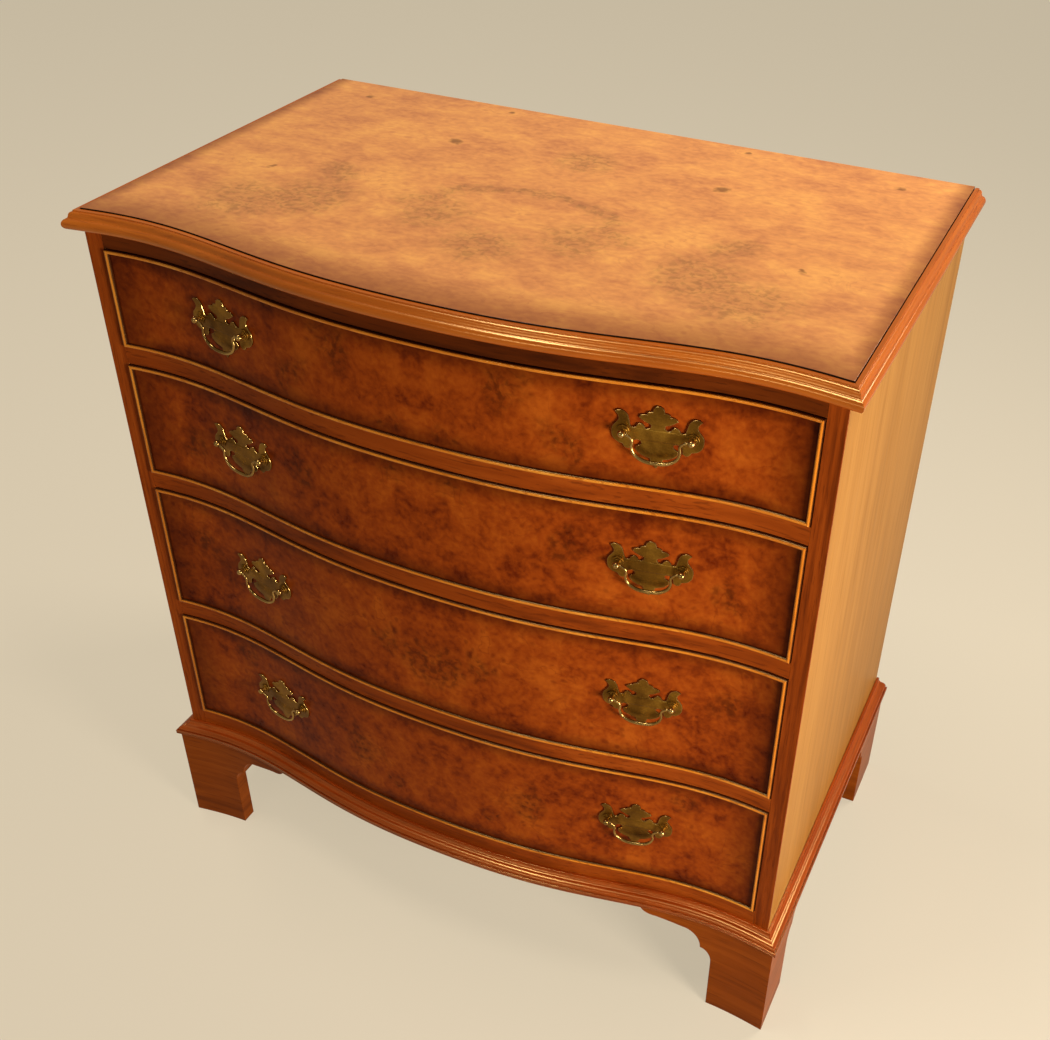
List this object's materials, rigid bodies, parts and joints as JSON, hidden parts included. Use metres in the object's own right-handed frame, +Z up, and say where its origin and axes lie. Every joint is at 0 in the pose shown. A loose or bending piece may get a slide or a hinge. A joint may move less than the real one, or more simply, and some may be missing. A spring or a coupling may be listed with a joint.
{
  "type": "serpentine chest of drawers",
  "caption": "Low walnut chest with a serpentine front, graduated drawers with cock beads, a moulded top, ogee bracket feet and brass swan-neck handles.",
  "frame": {"origin": "on the floor, under the middle of the chest's overall box", "axes": "+Z up, +X to the chest's right as seen from the front, +Y towards the back"},
  "size_m": [0.771, 0.4872, 0.802],
  "materials": {
    "top_burr": "burr walnut veneer, waxed to a shine, amber",
    "front_burr": "burr walnut veneer, waxed, red-brown",
    "walnut": "solid walnut, waxed, dark",
    "side_walnut": "straight-grained walnut veneer, glossy",
    "bead_wood": "honey-coloured bead, waxed",
    "lining": "plain pale secondary wood, unpolished",
    "aged_brass": "cast brass, aged, with rubbed highlights"
  },
  "bodies": {
    "case": {"back_panel": "lining", "base_moulding_front": "walnut", "base_moulding_left": "walnut", "base_moulding_right": "walnut", "bottom_board": "lining", "bottom_rail": "walnut", "foot_front_left": "walnut", "foot_front_right": "walnut", "foot_rear_left": "walnut", "foot_rear_right": "walnut", "rail_lower": "walnut", "rail_middle": "walnut", "rail_upper": "walnut", "side_left": "side_walnut", "side_right": "side_walnut", "top_moulding_front": "walnut", "top_moulding_left": "walnut", "top_moulding_right": "walnut", "top_panel": "top_burr", "top_rail": "walnut"},
    "drawer_1": {"drawer_1_back": "lining", "drawer_1_bottom": "lining", "drawer_1_cock_bead": "bead_wood", "drawer_1_front": "front_burr", "drawer_1_handle_left_plate": "aged_brass", "drawer_1_handle_right_plate": "aged_brass", "drawer_1_side_left": "lining", "drawer_1_side_right": "lining"},
    "drawer_1_handle_left_bail": {"drawer_1_handle_left_bail": "aged_brass"},
    "drawer_1_handle_right_bail": {"drawer_1_handle_right_bail": "aged_brass"},
    "drawer_2": {"drawer_2_back": "lining", "drawer_2_bottom": "lining", "drawer_2_cock_bead": "bead_wood", "drawer_2_front": "front_burr", "drawer_2_handle_left_plate": "aged_brass", "drawer_2_handle_right_plate": "aged_brass", "drawer_2_side_left": "lining", "drawer_2_side_right": "lining"},
    "drawer_2_handle_left_bail": {"drawer_2_handle_left_bail": "aged_brass"},
    "drawer_2_handle_right_bail": {"drawer_2_handle_right_bail": "aged_brass"},
    "drawer_3": {"drawer_3_back": "lining", "drawer_3_bottom": "lining", "drawer_3_cock_bead": "bead_wood", "drawer_3_front": "front_burr", "drawer_3_handle_left_plate": "aged_brass", "drawer_3_handle_right_plate": "aged_brass", "drawer_3_side_left": "lining", "drawer_3_side_right": "lining"},
    "drawer_3_handle_left_bail": {"drawer_3_handle_left_bail": "aged_brass"},
    "drawer_3_handle_right_bail": {"drawer_3_handle_right_bail": "aged_brass"},
    "drawer_4": {"drawer_4_back": "lining", "drawer_4_bottom": "lining", "drawer_4_cock_bead": "bead_wood", "drawer_4_front": "front_burr", "drawer_4_handle_left_plate": "aged_brass", "drawer_4_handle_right_plate": "aged_brass", "drawer_4_side_left": "lining", "drawer_4_side_right": "lining"},
    "drawer_4_handle_left_bail": {"drawer_4_handle_left_bail": "aged_brass"},
    "drawer_4_handle_right_bail": {"drawer_4_handle_right_bail": "aged_brass"}
  },
  "joints": [
    {"name": "drawer_1_slide", "type": "slide", "parent": "case", "child": "drawer_1", "axis": [0, -1, 0], "range_m": [0, 0.3]},
    {"name": "drawer_1_handle_left_swing", "type": "hinge", "parent": "drawer_1", "child": "drawer_1_handle_left_bail", "pos_m": [-0.21922, -0.21259, 0.71845], "axis": [-0.9823, 0.1872, 0], "range_deg": [-8, 150]},
    {"name": "drawer_1_handle_right_swing", "type": "hinge", "parent": "drawer_1", "child": "drawer_1_handle_right_bail", "pos_m": [0.21922, -0.21259, 0.71845], "axis": [-0.9823, -0.1872, 0], "range_deg": [-8, 150]},
    {"name": "drawer_2_slide", "type": "slide", "parent": "case", "child": "drawer_2", "axis": [0, -1, 0], "range_m": [0, 0.3]},
    {"name": "drawer_2_handle_left_swing", "type": "hinge", "parent": "drawer_2", "child": "drawer_2_handle_left_bail", "pos_m": [-0.21922, -0.21259, 0.5837], "axis": [-0.9823, 0.1872, 0], "range_deg": [-8, 150]},
    {"name": "drawer_2_handle_right_swing", "type": "hinge", "parent": "drawer_2", "child": "drawer_2_handle_right_bail", "pos_m": [0.21922, -0.21259, 0.5837], "axis": [-0.9823, -0.1872, 0], "range_deg": [-8, 150]},
    {"name": "drawer_3_slide", "type": "slide", "parent": "case", "child": "drawer_3", "axis": [0, -1, 0], "range_m": [0, 0.3]},
    {"name": "drawer_3_handle_left_swing", "type": "hinge", "parent": "drawer_3", "child": "drawer_3_handle_left_bail", "pos_m": [-0.21922, -0.21259, 0.4232], "axis": [-0.9823, 0.1872, 0], "range_deg": [-8, 150]},
    {"name": "drawer_3_handle_right_swing", "type": "hinge", "parent": "drawer_3", "child": "drawer_3_handle_right_bail", "pos_m": [0.21922, -0.21259, 0.4232], "axis": [-0.9823, -0.1872, 0], "range_deg": [-8, 150]},
    {"name": "drawer_4_slide", "type": "slide", "parent": "case", "child": "drawer_4", "axis": [0, -1, 0], "range_m": [0, 0.3]},
    {"name": "drawer_4_handle_left_swing", "type": "hinge", "parent": "drawer_4", "child": "drawer_4_handle_left_bail", "pos_m": [-0.21922, -0.21259, 0.2517], "axis": [-0.9823, 0.1872, 0], "range_deg": [-8, 150]},
    {"name": "drawer_4_handle_right_swing", "type": "hinge", "parent": "drawer_4", "child": "drawer_4_handle_right_bail", "pos_m": [0.21922, -0.21259, 0.2517], "axis": [-0.9823, -0.1872, 0], "range_deg": [-8, 150]}
  ]
}
